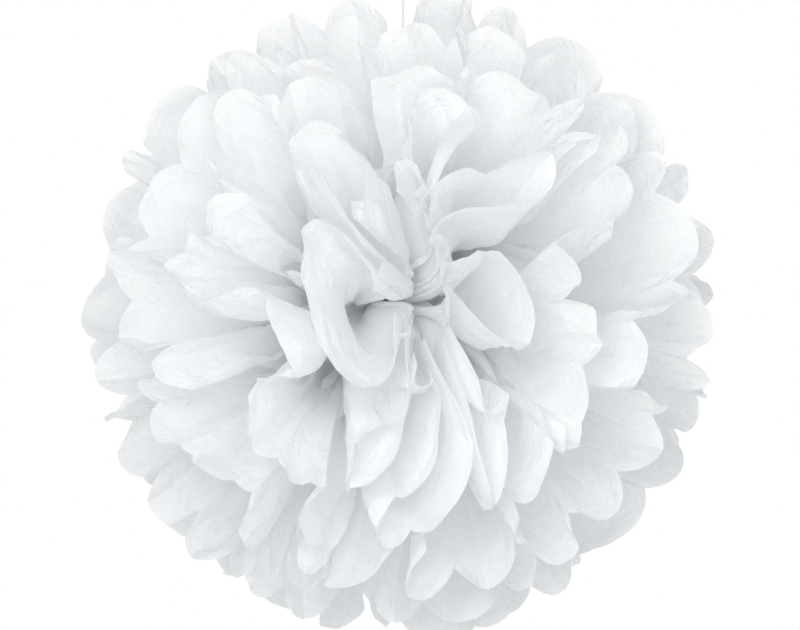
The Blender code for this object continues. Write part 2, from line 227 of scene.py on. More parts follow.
# The thread's, the wire's and the floor's looks
THREAD_DARK = (0.80, 0.80, 0.79, 1.0)
THREAD_PALE = (0.93, 0.93, 0.92, 1.0)
THREAD_FIBRES = 2600.0
THREAD_BUMP = (0.4, 0.0001)
THREAD_ROUGHNESS = 0.7
THREAD_SHEEN = 0.2
WIRE_DARK = (0.50, 0.51, 0.53, 1.0)
WIRE_PALE = (0.68, 0.69, 0.71, 1.0)
WIRE_MARKS = 1500.0
WIRE_ROUGHNESS = (0.28, 0.45)
FLOOR_COLOUR = (0.86, 0.86, 0.86, 1.0)
FLOOR_ROUGHNESS = 0.85
FLOOR_FADE = (0.20, 0.62)  # distances from under the ball
FLOOR_HALF = 0.7
FLOOR_DROP = 0.30  # below the ball's middle

# How the thread, its knots and the wire are drawn
PLIES = 2
PLY_VALLEY = 0.62  # how deep the valley between two plies goes, as a share of the radius
THREAD_SIDES = 14
THREAD_PITCH = 0.0026
THREAD_STEP = 0.00024
THREAD_POINTS = 20
THREAD_START = 0.6  # share of a knot's radius from its middle at which the thread starts
KNOT_STEPS = 90
KNOT_SIDES = 12
KNOT_PITCH = 0.0024
KNOT_TUBE = 0.95  # the thread's thickness in the knot, as a share of its own
KNOT_REACH = 3.0  # of the knot's formula
KNOT_FULLNESS = 1.1
WIRE_SIDES = 12
WIRE_STEP = 0.0002
WIRE_ROUNDS = 3
TAIL_STEPS = 9
TAIL_TURN = math.radians(70.0)
CORNER_STEPS = 3  # points round each corner of the tie
LOOP_LEG_STEPS = 24
LOOP_TOP_STEPS = 33
LEAST_STEPS = 8

# The photo's frame: the ball's middle and its width in pixels
PHOTO_SIZE = (800, 630)
PHOTO_BALL = (403.0, 314.0)
PHOTO_BALL_WIDTH = 632.0
CURLED_REACH = 1.008  # how far the petals' tips reach in the picture, as a share of the ball's radius
CAMERA_DISTANCE = 1.05
SENSOR = 36.0

# The light: places are from the ball's middle, then size and energy
AMBIENT_COLOUR = (0.950, 0.985, 1.0, 1.0)
AMBIENT_STRENGTH = 0.635
KEY_LAMP = ((-0.35, -1.10, 0.45), 0.5, 2.6)
BACK_LAMP = ((0.40, 1.35, 0.15), 0.9, 3.0)
FRONT_LAMP = ((-0.015, -0.40, 0.005), 0.20, 0.43)  # close in front, so that the hollow middle gets more of it


def smoothstep(low, high, value):
    share = np.clip((value - low) / (high - low), 0.0, 1.0)
    return share * share * (3.0 - 2.0 * share)


def unit(vectors):
    """The same directions, each 1 long."""
    return vectors / np.linalg.norm(vectors, axis=-1, keepdims=True)


def direction_of(half, azimuth, polar):
    """Unit vector at an azimuth from the side, up positive, and a polar angle from the flower's axis."""
    across = np.sin(polar)
    return np.stack((half * np.cos(azimuth) * across, -np.cos(polar), np.sin(azimuth) * across), axis=-1)


def on_ring(azimuth, polar):
    """The polar angle at one azimuth of an oval ring of petals."""
    from_axis = np.minimum(polar, math.pi - polar)
    near = np.exp(-((from_axis / RING_MIDDLE_REACH) ** 2))
    wide = 1.0 - RING_NARROW_MIDDLE * near
    tall = 1.0 + RING_TALL + RING_TALL_MIDDLE * near
    stretch = 1.0 / np.hypot(np.cos(azimuth) / wide, np.sin(azimuth) / tall)
    return np.arctan2(np.sin(polar) * stretch, np.cos(polar))


def shell_edge(number):
    """The polar angle between one sheet and the next."""
    if number in (0, SHEETS):
        return math.pi * number / SHEETS
    return END_SHELL + (number - 1) * (math.pi - 2 * END_SHELL) / (SHEETS - 2)


def angle_between(vectors, axis):
    return np.arccos(np.clip(vectors @ axis, -1.0, 1.0))


def teased(direction, row_share):
    """Where a direction goes once the paper is teased."""
    moved = direction
    outer = smoothstep(*TURN_SPAN, row_share)
    inner = smoothstep(*INNER_RISE, row_share) * (1.0 - smoothstep(*INNER_FALL, row_share))
    for turning, turns in ((inner, INNER_TURNS), (outer, EDDIES)):
        for azimuth, polar, reach, turn in turns:
            axis = direction_of(1, math.radians(azimuth), math.radians(polar))
            fade = np.exp(-((angle_between(moved, axis) / math.radians(reach)) ** 2))
            angle = (math.radians(turn) * fade * turning)[..., None]
            along = (moved @ axis)[..., None] * axis
            moved = along + (moved - along) * np.cos(angle) + np.cross(axis, moved) * np.sin(angle)
    push = np.zeros_like(moved)
    for travel, amount, phase in WAVES:
        wave = np.sin(moved @ np.array(travel) * WAVE_RATE + phase + WAVE_ROLL * row_share)
        push = push + wave[..., None] * np.array(amount)
    forward = np.maximum(-moved[..., 1], 0.0) ** 2
    push = push + forward[..., None] * FLOWER_SHIFT
    aside = inner * np.sign(-moved[..., 1]) * moved[..., 1] ** 2
    push = push * smoothstep(*PUSH_SPAN, row_share)[..., None]
    moved = unit(moved + push + aside[..., None] * INNER_SHIFT)
    free = smoothstep(*THREAD_LANE, angle_between(direction, np.array((0.0, 0.0, 1.0))))[..., None]
    return unit(direction + (moved - direction) * free)


def closed(polar, row_share):
    """Draws the inmost paper together, so that the middle of the flower closes over the tie."""
    from_axis = np.minimum(polar, math.pi - polar)
    drawn = CLOSE_REACH * np.minimum(from_axis / CLOSE_REACH, 1.0) ** CLOSE_POWER
    pull = np.maximum(np.minimum(from_axis, CLOSE_REACH) - drawn, 0.0)
    pull = pull * smoothstep(*CLOSE_RISE, row_share) * (1.0 - smoothstep(*CLOSE_FALL, row_share))
    return polar - np.sign(math.pi / 2 - polar) * pull


def zigzag(angle):
    """A sharp wave from -1 to 1."""
    return 2.0 / math.pi * np.arcsin(np.sin(angle) * RIPPLE_CORNER)


def gathered(polar, azimuth, row_share):
    """The ripples near the tie. They swing alike in every sheet, which keeps neighbours nearly apart."""
    lane_angle = np.arccos(np.abs(direction_of(1, azimuth, polar)[..., 2]).clip(0.0, 1.0))
    amount = smoothstep(*GATHER_RISE, row_share) * (1.0 - smoothstep(*GATHER_FALL, row_share))
    amount = amount * smoothstep(*THREAD_LANE, lane_angle)
    polar = polar + amount * GATHER_POLAR[0] * np.sin(polar) * zigzag(azimuth * GATHER_POLAR[1])
    swing = amount * GATHER_AZIMUTH[0] * np.maximum(np.cos(azimuth), 0.0)
    return polar, azimuth + swing * zigzag(polar * GATHER_AZIMUTH[1])


def soften(values, reach):
    """Rounds the corners of lines that run along the last axis, reach columns to each side."""
    kernel = np.hanning(2 * reach + 3)[1:-1]
    kernel /= kernel.sum()
    steps = np.arange(1, reach + 1)
    before = values[..., :1] + (values[..., :1] - values[..., 1:2]) * steps[::-1]
    after = values[..., -1:] + (values[..., -1:] - values[..., -2:-1]) * steps
    wide = np.concatenate((before, values, after), axis=-1)
    count = values.shape[-1]
    return sum(weight * wide[..., place : place + count] for place, weight in enumerate(kernel))


class Fan:
    """One half of one sheet, folded as its solid is."""

    def __init__(self, sheet, half):
        self.sheet = sheet
        self.half = half
        self.low = max(shell_edge(sheet) + SHELL_MARGIN, CENTRE_HOLLOW)
        self.high = min(shell_edge(sheet + 1) - SHELL_MARGIN, math.pi - CENTRE_HOLLOW)
        self.middle = (self.low + self.high) / 2
        top = math.pi / 2 - SEAM_MARGIN + self.seam(True)
        bottom = -math.pi / 2 + SEAM_MARGIN + self.seam(False)
        self.azimuths = top + (bottom - top) * np.arange(RING_STEPS + 1) / RING_STEPS
        ring = direction_of(1, self.azimuths, on_ring(self.azimuths, self.middle))
        steps = np.arccos(np.clip((ring[1:] * ring[:-1]).sum(axis=-1), -1.0, 1.0))
        self.lengths = np.concatenate(((0.0,), np.cumsum(steps)))
        self.ring = self.lengths[-1]
        draw = random.Random(FOLD_SEED + 2 * sheet + (half > 0))
        self.folds = self.place_folds(draw)
        self.bows = np.array([draw.uniform(0.5, 1.0) * PETAL_BOW for _ in range(PLEATS)])
        self.reaches = np.array([1.0 - draw.uniform(0.0, 1.0) * PETAL_REACH for _ in range(PLEATS)])

    def seam(self, is_top):
        """How far this sheet's seam strays from the thread's plane."""
        if self.sheet in (FRONT_SHEETS - 1, FRONT_SHEETS):
            return 0.0
        draw = random.Random(FOLD_SEED * 100 + 2 * self.sheet + is_top)
        return self.half * math.radians(draw.uniform(-SEAM_WANDER, SEAM_WANDER))

    def azimuth_at(self, share):
        """The azimuth at a share of the ring's length, from the top."""
        aim = share * self.ring
        step = np.clip(np.searchsorted(self.lengths, aim, side="right"), 1, RING_STEPS)
        near, far = self.lengths[step - 1], self.lengths[step]
        start, end = self.azimuths[step - 1], self.azimuths[step]
        return start + (end - start) * (aim - near) / (far - near)

    def place_folds(self, draw):
        """Each fold's share of the ring and its level, the panels doubled back where the ring is short."""
        wanted = self.ring / PLEAT_ANGLE / PLEATS
        doubled = min(max((DOUBLING_START - wanted) / (DOUBLING_START - DOUBLING_FULL), 0.0), 1.0)
        along = 0.0
        folds = [(along, PLEAT_GROUP[-1][2])]
        for panel in range(PLEATS):
            open_step, closed_step, open_level, closed_level = PLEAT_GROUP[panel % len(PLEAT_GROUP)]
            step_jitter = draw.uniform(-1, 1) * FOLD_JITTER
            level_jitter = draw.uniform(-1, 1) * FOLD_JITTER
            along += open_step + (closed_step - open_step) * doubled + step_jitter
            level = open_level + (closed_level - open_level) * doubled + level_jitter
            folds.append((along, level))
        return np.array([(place / along, level) for place, level in folds])

    def points(self, across, row_share):
        """The paper's places: rows from the tie out by columns from the top to the bottom."""
        row_share = row_share[:, None] + 0.0 * across[None, :]
        across = across[None, :] + 0.0 * row_share
        panel = np.minimum((across * PLEATS).astype(int), PLEATS - 1)
        share = across * PLEATS - panel
        start, start_level = self.folds[panel, 0], self.folds[panel, 1]
        end, end_level = self.folds[panel + 1, 0], self.folds[panel + 1, 1]
        half_thickness = (self.high - self.low) / 2
        run = (end - start) * self.ring
        rise = (end_level - start_level) * half_thickness
        chord = np.hypot(run, rise)
        bow = self.bows[panel] * PLEAT_ANGLE * np.sin(math.pi * share) * smoothstep(*BOW_SPAN, row_share)
        facing = np.sign(run)
        along = start + (end - start) * share - facing * bow * rise / chord / self.ring
        level = start_level + (end_level - start_level) * share
        level = level + facing * bow * run / chord / half_thickness
        along = soften(along, 1)
        level = soften(level, 1)
        level = np.clip(level, -1.0, 1.0) * smoothstep(*LEVEL_SPAN, row_share)
        fanned = (0.5 - across) * (math.pi - 2 * SEAM_MARGIN)
        azimuth = fanned + (self.azimuth_at(along) - fanned) * smoothstep(*RING_SPAN, row_share)
        polar = closed(on_ring(azimuth, self.middle + level * half_thickness), row_share)
        polar = math.pi / 2 + (polar - math.pi / 2) * smoothstep(*WAIST_SPAN, row_share)
        polar, azimuth = gathered(polar, azimuth, row_share)
        towards = teased(direction_of(self.half, azimuth, polar), row_share)
        arch = 1.0 - np.abs(2.0 * share - 1.0) ** TRIM_ROUNDNESS
        reach = BALL_RADIUS * (1.0 - (1.0 - self.reaches[panel]) * arch) - NOTCH_DEPTH * (1.0 - arch)
        waist = np.stack(
            (
                np.full_like(azimuth, self.half * WAIST_LENGTH / 2),
                np.full_like(azimuth, (self.sheet - (SHEETS - 1) / 2) * WAIST_PITCH),
                WAIST_WIDTH / 2 * azimuth / (math.pi / 2),
            ),
            axis=-1,
        )
        return waist + towards * (row_share * reach)[..., None]


def lattice_noise(seed, u, v, size):
    """Smooth noise from -1 to 1 over the flat paper, its bumps about size across."""
    table = np.random.default_rng(seed).uniform(-1.0, 1.0, (NOISE_CELLS, NOISE_CELLS))
    x, y = u / size, v / size
    column, row = np.floor(x).astype(int), np.floor(y).astype(int)
    fx, fy = x - column, y - row
    fx, fy = fx * fx * (3 - 2 * fx), fy * fy * (3 - 2 * fy)
    corners = [table[(row + b) % NOISE_CELLS, (column + a) % NOISE_CELLS] for b in (0, 1) for a in (0, 1)]
    near = corners[0] + (corners[1] - corners[0]) * fx
    far = corners[2] + (corners[3] - corners[2]) * fx
    return near + (far - near) * fy


def grid_normals(points):
    """The outward or inward direction of the paper at each point of a grid."""
    down = np.gradient(points, axis=0)
    across = np.gradient(points, axis=1)
    normal = np.cross(down, across)
    return normal / np.maximum(np.linalg.norm(normal, axis=-1, keepdims=True), TINY)


def crinkled(points, fan, across, row_share):
    """Presses the paper's own creases and crinkles into its folded shape.

    Gives the pressed points, and for each of them how much of a crease or fold it lies on.
    """
    seed = PAPER_SEED + 2 * fan.sheet + (fan.half > 0)
    draw = np.random.default_rng(seed)
    size = row_share[:, None] + 0.0 * across[None, :]
    v = size * BALL_RADIUS
    u = across[None, :] * SHEET_WIDTH + 0.0 * v
    panel = np.minimum((across * PLEATS).astype(int), PLEATS - 1)
    share = (across * PLEATS - panel)[None, :]
    # the folds themselves stay straight
    inside = smoothstep(0.0, FOLD_STRIP, np.minimum(share, 1.0 - share))
    # creases that run from the tie to the rim inside each panel
    creases = np.zeros_like(size)
    ridges = np.where(np.minimum(share, 1.0 - share) < ON_LINE, 1.0, 0.0)
    columns = panel_columns()
    for depth_share in CREASE_SHARES:
        chosen = draw.integers(CREASE_MARGIN, PANEL_COLUMNS - CREASE_MARGIN + 1, PLEATS)
        place = columns[chosen][panel][None, :]
        depth = draw.uniform(*CREASE_RANGE, PLEATS) * draw.choice((-1.0, 1.0), PLEATS) * CREASE_DEPTH
        hill = np.minimum(share / place, (1.0 - share) / (1.0 - place))
        creases = creases + hill * depth[panel][None, :] * depth_share
        ridges = np.maximum(ridges, np.where(np.abs(share - place) < ON_LINE, depth_share, 0.0))
    creases = creases * smoothstep(*CREASE_SPAN, size)
    # crumpled facets, from wide to narrow
    crumple = np.zeros_like(size)
    for turn, (facet, depth) in enumerate(FACETS):
        slant = FACET_SLANT[0] + FACET_SLANT[1] * turn
        facet_seed = seed + FACET_SEEDS[0] + FACET_SEEDS[1] * turn
        noise = lattice_noise(facet_seed, u + v * slant, v - u * slant, facet)
        crumple = crumple + (FACET_LEVEL - np.abs(noise)) * depth
    crumple = crumple * smoothstep(*FACET_SPAN, size) * inside
    # rims that curl one way or the other, and waver
    curl = draw.uniform(-1.0, 1.0, PLEATS)[panel][None, :] * RIM_CURL * smoothstep(*CURL_SPAN, size) ** 2
    waver = lattice_noise(seed + RIM_WAVE_SEED, u, v * RIM_WAVE_STRETCH, RIM_WAVE[0]) * RIM_WAVE[1]
    waver = waver * smoothstep(*RIM_WAVE_SPAN, size)
    offset = creases + crumple + (curl + waver) * inside
    # calmer where the narrow petals crowd the middle of the flower
    pole = unit(np.array((FLOWER_SHIFT[0], -1.0, FLOWER_SHIFT[2])))
    from_pole = angle_between(unit(points), pole)
    offset = offset * (POLE_CALM + (1.0 - POLE_CALM) * smoothstep(*POLE_SPAN, from_pole))
    return points + grid_normals(points) * offset[..., None], ridges + 0.0 * size


def grid_mesh(name, points):
    """A smooth mesh of four-sided faces over a grid of points."""
    rows, columns = points.shape[:2]
    mesh = bpy.data.meshes.new(name)
    mesh.vertices.add(rows * columns)
    mesh.vertices.foreach_set("co", points.reshape(-1).astype(np.float32))
    index = np.arange(rows * columns).reshape(rows, columns)
    corners = (index[:-1, :-1], index[1:, :-1], index[1:, 1:], index[:-1, 1:])
    quads = np.stack(corners, axis=-1).reshape(-1, 4)
    mesh.loops.add(quads.size)
    mesh.loops.foreach_set("vertex_index", quads.reshape(-1).astype(np.int32))
    mesh.polygons.add(len(quads))
    mesh.polygons.foreach_set("loop_start", np.arange(0, quads.size, 4, dtype=np.int32))
    mesh.update(calc_edges=True)
    mesh.shade_smooth()
    return mesh


def add_object(name, data, material):
    item = bpy.data.objects.new(name, data)
    data.materials.append(material)
    bpy.context.scene.collection.objects.link(item)
    return item


def stands_for(piece, node):
    """Sets a piece on the one body, in place of the solid that it shows."""
    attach(piece, "root")
    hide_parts(node)


def panel_columns():
    """Places across one panel, close together at its folds."""
    even = np.arange(PANEL_COLUMNS) / PANEL_COLUMNS
    return even - CREASE_CROWDING * np.sin(2 * math.pi * even)


def paper_columns():
    """Places across the whole sheet, from 0 to 1."""
    across = (np.arange(PLEATS)[:, None] + panel_columns()[None, :]).reshape(-1) / PLEATS
    return np.append(across, 1.0)


def make_sheet(number, material):
    """One sheet: its left fan, its strip in the tie and its right fan in one mesh."""
    across = paper_columns()
    row_share = np.linspace(0.0, 1.0, PAPER_ROWS) ** ROW_CROWDING
    halves = []
    ridge_halves = []
    for half in (-1, 1):
        fan = Fan(number, half)
        points = fan.points(across, row_share)
        points, ridges = crinkled(points, fan, across, row_share)
        halves.append(points[::-1] if half < 0 else points)
        ridge_halves.append(ridges[::-1] if half < 0 else ridges)
    points = np.concatenate(halves) + BALL_CENTRE
    name = f"tissue_paper_{number + 1:02d}"
    mesh = grid_mesh(name, points)
    along = np.concatenate((-row_share[::-1], row_share)) * BALL_RADIUS
    flat = np.zeros(points.shape)
    flat[..., 0] = across[None, :] * SHEET_WIDTH
    flat[..., 1] = along[:, None]
    flat[..., 2] = BALL_RADIUS - np.abs(along[:, None])
    paper = mesh.attributes.new("paper", "FLOAT_VECTOR", "POINT")
    paper.data.foreach_set("vector", flat.reshape(-1).astype(np.float32))
    # where the creases and folds lie, which the material paints as pale highlight lines
    crease = mesh.attributes.new("crease", "FLOAT", "POINT")
    crease.data.foreach_set("value", np.concatenate(ridge_halves).reshape(-1).astype(np.float32))
    mesh.set_sharp_from_angle(angle=CREASE_ANGLE)
    sheet = add_object(name, mesh, material)
    stands_for(sheet, f"tissue_sheet_{number + 1:02d}")


def new_material(name):
    """A material with its nodes and its links."""
    material = bpy.data.materials.new(name)
    material.use_nodes = True
    return material, material.node_tree.nodes, material.node_tree.links


def tissue_material():
    """White tissue: its creases and crinkles lie in the flat sheet, so they follow its folds."""
    material, nodes, links = new_material("white_tissue_look")
    nodes.clear()

    def math_node(operation, first, second, third=None):
        node = nodes.new("ShaderNodeMath")
        node.operation = operation
        for place, value in enumerate((first, second, third)):
            if value is None:
                continue
            if isinstance(value, float):
                node.inputs[place].default_value = value
            else:
                links.new(value, node.inputs[place])
        return node.outputs[0]

    def noise_over(vector, size, detail=0.0):
        noise = nodes.new("ShaderNodeTexNoise")
        noise.inputs["Scale"].default_value = 1.0 / size
        noise.inputs["Detail"].default_value = detail
        links.new(vector, noise.inputs["Vector"])
        return noise.outputs["Fac"]

    def crease_over(vector, size):
        """Straight slopes that meet in sharp lines: 0 on a line."""
        return math_node("ABSOLUTE", math_node("SUBTRACT", noise_over(vector, size), 0.5), None)

    def stretched(vector, scale):
        turn = nodes.new("ShaderNodeMapping")
        turn.inputs["Scale"].default_value = scale
        links.new(vector, turn.inputs["Vector"])
        return turn.outputs["Vector"]

    def ranged(value, low, high, start, end):
        node = nodes.new("ShaderNodeMapRange")
        node.interpolation_type = "SMOOTHSTEP"
        ends = {"From Min": low, "From Max": high, "To Min": start, "To Max": end}
        for socket, number in ends.items():
            node.inputs[socket].default_value = number
        links.new(value, node.inputs["Value"])
        return node.outputs["Result"]

    paper = nodes.new("ShaderNodeAttribute")
    paper.attribute_name = "paper"
    flat = paper.outputs["Vector"]
    parts = nodes.new("ShaderNodeSeparateXYZ")
    links.new(flat, parts.inputs[0])
    to_rim = parts.outputs["Z"]
    outer = ranged(to_rim, *CALM_INSIDE)

    streak, narrow, wide, fine = (
        crease_over(stretched(flat, stretch), size)
        for stretch, size, _ in (STREAKS, NARROW_STREAKS, WIDE_CRINKLES, FINE_CRINKLES)
    )
    fibres = noise_over(flat, FIBRES[0], DETAIL)
    height = math_node("MULTIPLY", streak, STREAKS[2])
    height = math_node("MULTIPLY_ADD", narrow, NARROW_STREAKS[2], height)
    height = math_node("MULTIPLY_ADD", math_node("MULTIPLY", wide, outer), WIDE_CRINKLES[2], height)
    height = math_node("MULTIPLY_ADD", math_node("MULTIPLY", fine, outer), FINE_CRINKLES[2], height)
    height = math_node("MULTIPLY_ADD", fibres, FIBRES[1], height)
    bump = nodes.new("ShaderNodeBump")
    bump.inputs["Strength"].default_value = 1.0
    bump.inputs["Distance"].default_value = 1.0
    links.new(height, bump.inputs["Height"])

    # painted highlights: paler thin lines along the streaks, the crinkles, the creases and the cut rim, where
    # they would catch the light
    crease = nodes.new("ShaderNodeAttribute")
    crease.attribute_name = "crease"
    line = math_node("MAXIMUM", ranged(streak, *PAINTED_STREAK_HIGHLIGHT), ranged(wide, *PAINTED_CRINKLE_HIGHLIGHT))
    line = math_node("MAXIMUM", line, ranged(crease.outputs["Fac"], *PAINTED_CREASE_HIGHLIGHT))
    pale = math_node("MAXIMUM", line, ranged(to_rim, *PAINTED_RIM_HIGHLIGHT))
    cloud = noise_over(flat, CLOUDS, DETAIL)
    # the painted highlight lines and the random mottling together set how pale the paper is
    lines = math_node("MULTIPLY", pale, PAINTED_HIGHLIGHT_SHARE)
    tone = math_node("MULTIPLY_ADD", ranged(cloud, *CLOUD_RANGE, 0.0, 1.0), CLOUD_SHARE, lines)
    colour = nodes.new("ShaderNodeMix")
    colour.data_type = "RGBA"
    links.new(tone, colour.inputs[MIX_FACTOR])
    colour.inputs[MIX_FIRST].default_value = PAPER_DARK
    colour.inputs[MIX_SECOND].default_value = PAPER_PALE

    output = nodes.new("ShaderNodeOutputMaterial")
    shader = nodes.new("ShaderNodeBsdfPrincipled")
    through = nodes.new("ShaderNodeBsdfTranslucent")
    mix = nodes.new("ShaderNodeMixShader")
    mix.inputs[0].default_value = PAPER_THROUGH
    shader.inputs["Specular IOR Level"].default_value = PAPER_SPECULAR
    links.new(ranged(cloud, *CLOUD_RANGE, *PAPER_ROUGHNESS), shader.inputs["Roughness"])
    links.new(colour.outputs[MIX_RESULT], shader.inputs["Base Color"])
    links.new(colour.outputs[MIX_RESULT], through.inputs["Color"])
    links.new(bump.outputs["Normal"], shader.inputs["Normal"])
    links.new(bump.outputs["Normal"], through.inputs["Normal"])
    links.new(shader.outputs[0], mix.inputs[1])
    links.new(through.outputs[0], mix.inputs[2])
    links.new(mix.outputs[0], output.inputs["Surface"])
    return material


def speckled(nodes, links, shader, scale, dark, pale):
    """Colours a surface from dark to pale in small spots, and gives the spots."""
    place = nodes.new("ShaderNodeTexCoord")
    spots = nodes.new("ShaderNodeTexNoise")
    spots.inputs["Scale"].default_value = scale
    links.new(place.outputs["Object"], spots.inputs["Vector"])
    colour = nodes.new("ShaderNodeValToRGB")
    colour.color_ramp.elements[0].color = dark
    colour.color_ramp.elements[1].color = pale
    links.new(spots.outputs["Fac"], colour.inputs["Fac"])
    links.new(colour.outputs["Color"], shader.inputs["Base Color"])
    return spots.outputs["Fac"]


def thread_material():
    material, nodes, links = new_material("white_thread_look")
    shader = nodes["Principled BSDF"]
    shader.inputs["Roughness"].default_value = THREAD_ROUGHNESS
    shader.inputs["Sheen Weight"].default_value = THREAD_SHEEN
    fibres = speckled(nodes, links, shader, THREAD_FIBRES, THREAD_DARK, THREAD_PALE)
    bump = nodes.new("ShaderNodeBump")
    bump.inputs["Strength"].default_value = THREAD_BUMP[0]
    bump.inputs["Distance"].default_value = THREAD_BUMP[1]
    links.new(fibres, bump.inputs["Height"])
    links.new(bump.outputs["Normal"], shader.inputs["Normal"])
    return material


def wire_material():
    material, nodes, links = new_material("tie_wire_look")
    shader = nodes["Principled BSDF"]
    shader.inputs["Metallic"].default_value = 1.0
    marks = speckled(nodes, links, shader, WIRE_MARKS, WIRE_DARK, WIRE_PALE)
    rough = nodes.new("ShaderNodeMapRange")
    rough.inputs["To Min"].default_value = WIRE_ROUGHNESS[0]
    rough.inputs["To Max"].default_value = WIRE_ROUGHNESS[1]
    links.new(marks, rough.inputs["Value"])
    links.new(rough.outputs["Result"], shader.inputs["Roughness"])
    return material


def lengths_along(points):
    """How far along a line of points each of them lies."""
    return np.concatenate(((0.0,), np.cumsum(np.linalg.norm(np.diff(points, axis=0), axis=1))))


def swept(name, path, radius, sides, plies, pitch, material):
    """A mesh tube along a path, its section lobed and turning where it is twisted from plies."""
    path = np.array(path, dtype=float)
    along = unit(np.gradient(path, axis=0))
    lengths = lengths_along(path)
    # any direction that isn't nearly along the path starts the section
    side = np.cross(along[0], (0.0, 1.0, 0.0) if abs(along[0][1]) < 0.9 else (1.0, 0.0, 0.0))
    rings = []
    angles = np.arange(sides) / sides * 2 * math.pi
    for point, heading, length in zip(path, along, lengths):
        side = side - heading * (side @ heading)
        side = side / np.linalg.norm(side)
        other = np.cross(heading, side)
        section = np.full(sides, radius)
        if plies:
            turned = angles - 2 * math.pi * length / pitch
            section = radius * np.maximum(np.abs(np.cos(turned * plies / 2)), PLY_VALLEY)
        aside = (np.cos(angles) * section)[:, None] * side
        rings.append(point + aside + (np.sin(angles) * section)[:, None] * other)
    rings = np.array(rings) + BALL_CENTRE
    count = len(path)
    verts = [tuple(co) for co in rings.reshape(-1, 3)]
    faces = []
    for low in range(0, (count - 1) * sides, sides):
        for s in range(sides):
            beside = (s + 1) % sides
            faces.append((low + s, low + beside, low + sides + beside, low + sides + s))
    faces.append(tuple(range(sides))[::-1])
    faces.append(tuple((count - 1) * sides + s for s in range(sides)))
    mesh = bpy.data.meshes.new(name)
    mesh.from_pydata(verts, [], faces)
    mesh.update()
    mesh.shade_smooth()
    return add_object(name, mesh, material)


def resampled(points, step):
    """Points an even step apart along a smooth line through the given ones."""
    points = np.array(points, dtype=float)
    lengths = lengths_along(points)
    count = max(int(lengths[-1] / step), LEAST_STEPS)
    even = np.linspace(0.0, lengths[-1], count)
    return np.stack([np.interp(even, lengths, points[:, axis]) for axis in range(3)], axis=-1)


def rounded(points, rounds):
    """Cuts the corners of a line of points, its ends kept."""
    points = np.array(points, dtype=float)
    for _ in range(rounds):
        near = points[:-1] * 0.75 + points[1:] * 0.25
        far = points[:-1] * 0.25 + points[1:] * 0.75
        cut = np.stack((near, far), axis=1).reshape(-1, 3)
        points = np.concatenate((points[:1], cut[1:-1], points[-1:]))
    return points


def make_knot(name, height, material):
    """A small overhand knot drawn tight."""
    turns = np.linspace(0.0, 2 * math.pi, KNOT_STEPS)
    x = np.sin(turns) + 2 * np.sin(2 * turns)
    y = -np.sin(3 * turns)
    z = np.cos(turns) - 2 * np.cos(2 * turns)
    tube = THREAD_RADIUS * KNOT_TUBE
    scale = (KNOT_RADIUS - tube) / KNOT_REACH
    path = np.stack((x * scale, y * scale * KNOT_FULLNESS, z * scale + height), axis=-1)
    return swept(name, path, tube, KNOT_SIDES, PLIES, KNOT_PITCH, material)


def wire_route():
    """Points down one twisted tail, round the stack and back down the other tail."""
    half_y = STACK_HALF_THICKNESS + SEAT_GAP + WIRE_RADIUS
    half_z = WAIST_WIDTH / 2 + SEAT_GAP + WIRE_RADIUS
    apart = WIRE_RADIUS + SEAT_GAP / 2
    first = []
    second = []
    for step in range(TAIL_STEPS + 1):
        share = step / TAIL_STEPS
        angle = TAIL_TURN * (TAIL_STEPS - step)
        side = Vector((math.sin(angle) * apart, -math.cos(angle) * apart, 0.0))
        down = Vector((0.0, 0.0, -half_z - WIRE_TAIL * (1.0 - share)))
        first.append(down + side)
        second.append(down - side)
    corner = WIRE_DIAMETER
    round_stack = []
    for corner_y, corner_z, start in ((-1, -1, 180.0), (-1, 1, 90.0), (1, 1, 0.0), (1, -1, -90.0)):
        centre = Vector((0.0, corner_y * (half_y - corner), corner_z * (half_z - corner)))
        for step in range(CORNER_STEPS):
            angle = math.radians(start + 90.0 - 90.0 / (CORNER_STEPS - 1) * step)
            round_stack.append(centre + Vector((0.0, math.cos(angle), math.sin(angle))) * corner)
    return first + round_stack + second[::-1]


def loop_route():
    """Points up the loop's right leg, over the hook and down its left leg."""
    foot_x = THREAD_RADIUS + SEAT_GAP / 2
    foot_z = LOOP_KNOT_Z + math.sqrt((KNOT_RADIUS + SEAT_GAP) ** 2 - foot_x**2)
    bend = LOOP_WIDTH / 2 + THREAD_RADIUS
    top_centre = HOOK_Z - LOOP_WIDTH / 2
    legs = np.linspace(0.0, 1.0, LOOP_LEG_STEPS)[:-1]
    right = [
        (
            foot_x + (bend - foot_x) * float(smoothstep(0.0, 1.0, share)),
            0.0,
            foot_z + (top_centre - foot_z) * share,
        )
        for share in legs
    ]
    over = [
        (bend * math.cos(angle), 0.0, top_centre + bend * math.sin(angle))
        for angle in np.linspace(0.0, math.pi, LOOP_TOP_STEPS)
    ]
    left = [(-x, y, z) for x, y, z in reversed(right)]
    return right + over + left


# The camera
camera_data = bpy.data.cameras.new("camera")
camera = bpy.data.objects.new("camera", camera_data)
bpy.context.scene.collection.objects.link(camera)
bpy.context.scene.camera = camera
seen_radius = BALL_RADIUS * CURLED_REACH / math.sqrt(1.0 - (BALL_RADIUS / CAMERA_DISTANCE) ** 2)
frame_width = 2 * seen_radius * PHOTO_SIZE[0] / PHOTO_BALL_WIDTH
camera_data.sensor_width = SENSOR
camera_data.sensor_fit = "HORIZONTAL"
camera_data.lens = SENSOR * CAMERA_DISTANCE / frame_width
camera_data.shift_x = (PHOTO_SIZE[0] / 2 - PHOTO_BALL[0]) / PHOTO_SIZE[0]
camera_data.shift_y = (PHOTO_BALL[1] - PHOTO_SIZE[1] / 2) / PHOTO_SIZE[0]
camera.location = (0.0, -CAMERA_DISTANCE, -HOOK_Z)
camera.rotation_euler = (math.pi / 2, 0.0, 0.0)

